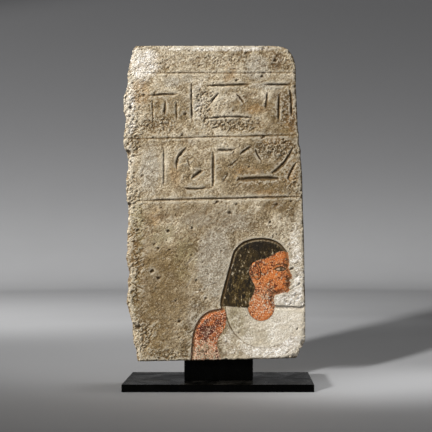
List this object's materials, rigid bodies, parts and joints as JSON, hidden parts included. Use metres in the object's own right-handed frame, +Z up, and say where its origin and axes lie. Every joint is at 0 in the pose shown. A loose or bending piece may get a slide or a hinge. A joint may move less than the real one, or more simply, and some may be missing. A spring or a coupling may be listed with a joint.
{
  "type": "limestone relief panel",
  "caption": "Broken upright limestone slab carved in sunk relief with a head and shoulder in profile, on a black block and base plate.",
  "frame": {"origin": "middle of the base plate's underside", "axes": "+Z up, the carved face looks along -Y, and +X is to the right as seen from in front of it"},
  "size_m": [0.3018, 0.15, 0.5474],
  "materials": {
    "limestone": "weathered beige limestone, pitted, with remains of red-brown and black-brown paint on the figure",
    "black_paint": "smooth black paint, half gloss"
  },
  "bodies": {
    "root": {"relief_slab": "limestone", "stand_block": "black_paint", "stand_base": "black_paint"}
  },
  "joints": []
}
